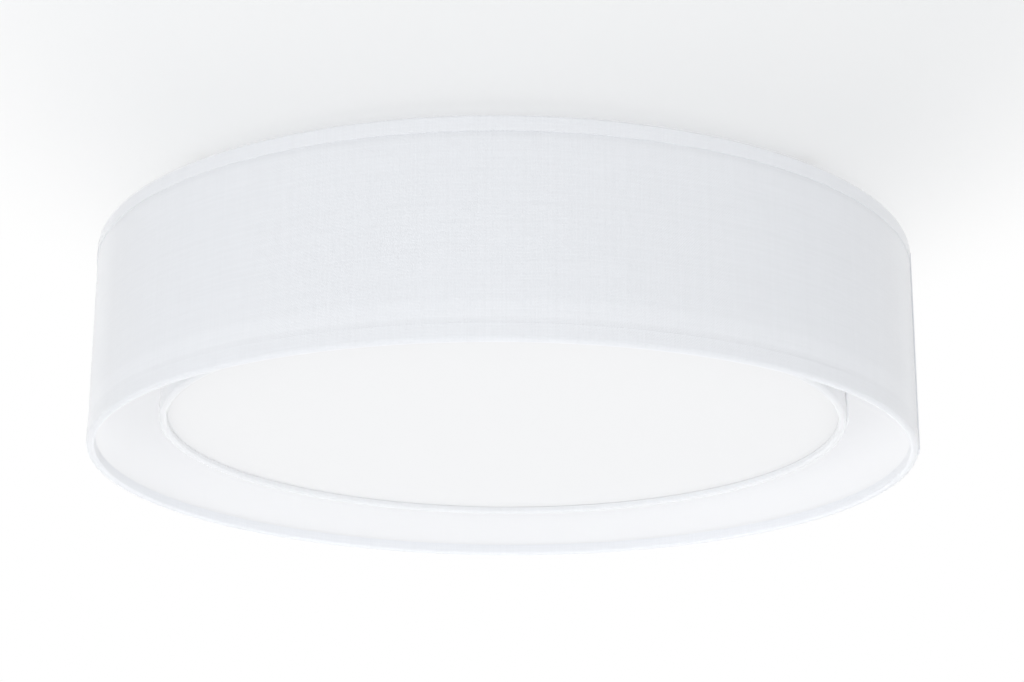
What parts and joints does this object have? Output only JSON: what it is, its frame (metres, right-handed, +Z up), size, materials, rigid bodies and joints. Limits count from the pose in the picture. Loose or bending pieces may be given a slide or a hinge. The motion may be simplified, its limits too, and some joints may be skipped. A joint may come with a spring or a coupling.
{
  "type": "flush mount ceiling light",
  "caption": "Flush ceiling light with two concentric round fabric drum shades, an opal disc diffuser, and a steel plate that carries horizontal bulbs.",
  "frame": {"origin": "centre of the ceiling plate's top face, which lies on the ceiling; it is also the centre of the circle of ceiling screw holes", "axes": "+Z up out of the ceiling plate, so the light hangs along -Z; lampholders point along +X, +Y, -X and -Y, arms lie on the diagonals, and the drums' side seams are near +X"},
  "size_m": [0.6, 0.6, 0.158],
  "materials": {
    "white_steel": "powder coat, satin",
    "zinc_steel": "zinc plated",
    "brass": "plain",
    "nickel": "nickel plated",
    "grommet_rubber": "matt",
    "terminal_plastic": "matt",
    "holder_plastic": "gloss",
    "lead_sheath": "soft sheath",
    "earth_insulation": "soft sheath",
    "opal_glass": "opal, gloss",
    "opal_acrylic": "opal, satin",
    "outer_cloth": "plain weave, matt",
    "inner_cloth": "plain weave, matt",
    "hem_cloth": "plain weave, matt",
    "liner_film": "translucent film",
    "white_wire": "powder coat"
  },
  "bodies": {
    "ceiling_frame": {"arm_bushes": "zinc_steel", "block_screws": "zinc_steel", "cable_grommet": "grommet_rubber", "ceiling_plate": "white_steel", "centre_contacts": "brass", "cover_screws": "zinc_steel", "earth_stud": "brass", "earth_wire": "earth_insulation", "flange_screws": "zinc_steel", "holder_lead_1": "lead_sheath", "holder_lead_2": "lead_sheath", "holder_lead_3": "lead_sheath", "holder_lead_4": "lead_sheath", "housing_cover": "white_steel", "lampholder_body_1": "holder_plastic", "lampholder_body_2": "holder_plastic", "lampholder_body_3": "holder_plastic", "lampholder_body_4": "holder_plastic", "lampholder_cap_1": "holder_plastic", "lampholder_cap_2": "holder_plastic", "lampholder_cap_3": "holder_plastic", "lampholder_cap_4": "holder_plastic", "nipple_nuts": "zinc_steel", "nipples": "zinc_steel", "screw_shell_1": "brass", "screw_shell_2": "brass", "screw_shell_3": "brass", "screw_shell_4": "brass", "terminal_block": "terminal_plastic", "terminal_screws": "brass", "wiring_housing": "white_steel"},
    "shade": {"inner_bottom_hem": "hem_cloth", "inner_bottom_ring": "white_wire", "inner_fabric": "inner_cloth", "inner_liner": "liner_film", "inner_top_hem": "hem_cloth", "inner_top_ring": "white_wire", "outer_bottom_hem": "hem_cloth", "outer_bottom_ring": "white_wire", "outer_fabric": "outer_cloth", "outer_liner": "liner_film", "outer_top_hem": "hem_cloth", "outer_top_ring": "white_wire", "shade_strap_1": "white_steel", "shade_strap_2": "white_steel", "shade_strap_3": "white_steel", "shade_strap_4": "white_steel"},
    "diffuser_disc": {"diffuser": "opal_acrylic"},
    "bulb_1": {"bulb_cap_1": "nickel", "bulb_globe_1": "opal_glass"},
    "bulb_2": {"bulb_cap_2": "nickel", "bulb_globe_2": "opal_glass"},
    "bulb_3": {"bulb_cap_3": "nickel", "bulb_globe_3": "opal_glass"},
    "bulb_4": {"bulb_cap_4": "nickel", "bulb_globe_4": "opal_glass"},
    "screw_1": {"thumb_screw_1": "nickel"},
    "screw_2": {"thumb_screw_2": "nickel"},
    "screw_3": {"thumb_screw_3": "nickel"},
    "screw_4": {"thumb_screw_4": "nickel"}
  },
  "joints": [
    {"name": "shade_drop", "type": "slide", "parent": "ceiling_frame", "child": "shade", "axis": [0, 0, -1], "range_m": [0, 0.16]},
    {"name": "diffuser_lift", "type": "slide", "parent": "shade", "child": "diffuser_disc", "axis": [0, 0, 1], "range_m": [0, 0.02]},
    {"name": "bulb_1_unscrew", "type": "hinge", "parent": "ceiling_frame", "child": "bulb_1", "pos_m": [0.1, 0, -0.05], "axis": [1, 0, 0], "range_deg": [0, 1260]},
    {"name": "bulb_2_unscrew", "type": "hinge", "parent": "ceiling_frame", "child": "bulb_2", "pos_m": [0, 0.1, -0.05], "axis": [0, 1, 0], "range_deg": [0, 1260]},
    {"name": "bulb_3_unscrew", "type": "hinge", "parent": "ceiling_frame", "child": "bulb_3", "pos_m": [-0.1, 0, -0.05], "axis": [-1, 0, 0], "range_deg": [0, 1260]},
    {"name": "bulb_4_unscrew", "type": "hinge", "parent": "ceiling_frame", "child": "bulb_4", "pos_m": [0, -0.1, -0.05], "axis": [0, -1, 0], "range_deg": [0, 1260]},
    {"name": "screw_1_turn", "type": "hinge", "parent": "shade", "child": "screw_1", "pos_m": [0.19201, 0.19201, -0.012], "axis": [0, 0, 1], "continuous": true},
    {"name": "screw_2_turn", "type": "hinge", "parent": "shade", "child": "screw_2", "pos_m": [-0.19201, 0.19201, -0.012], "axis": [0, 0, 1], "continuous": true},
    {"name": "screw_3_turn", "type": "hinge", "parent": "shade", "child": "screw_3", "pos_m": [-0.19201, -0.19201, -0.012], "axis": [0, 0, 1], "continuous": true},
    {"name": "screw_4_turn", "type": "hinge", "parent": "shade", "child": "screw_4", "pos_m": [0.19201, -0.19201, -0.012], "axis": [0, 0, 1], "continuous": true}
  ]
}
